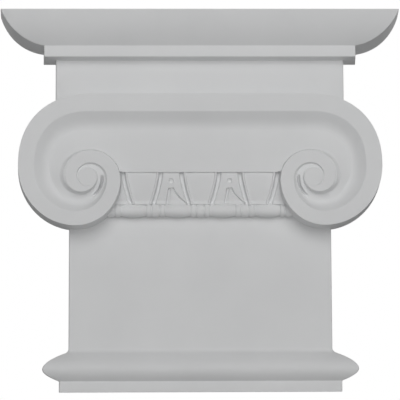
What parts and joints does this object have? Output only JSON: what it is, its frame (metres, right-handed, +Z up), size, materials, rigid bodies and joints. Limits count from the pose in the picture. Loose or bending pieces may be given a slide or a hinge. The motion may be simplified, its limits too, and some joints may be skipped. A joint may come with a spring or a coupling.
{
  "type": "ionic pilaster capital",
  "caption": "Flat-backed pilaster capital with a moulded crown, a scroll ending in volutes, an egg-and-dart band, a bead-and-reel string and a torus base.",
  "frame": {"origin": "centre of the flat back, which meets the wall", "axes": "+X along the width, -Y out of the wall to the front, +Z up"},
  "size_m": [0.4174, 0.043, 0.392],
  "materials": {
    "primed_polyurethane": "smooth factory primer, pale grey-white, matte to eggshell"
  },
  "bodies": {
    "root": {"ionic_capital": "primed_polyurethane"}
  },
  "joints": []
}
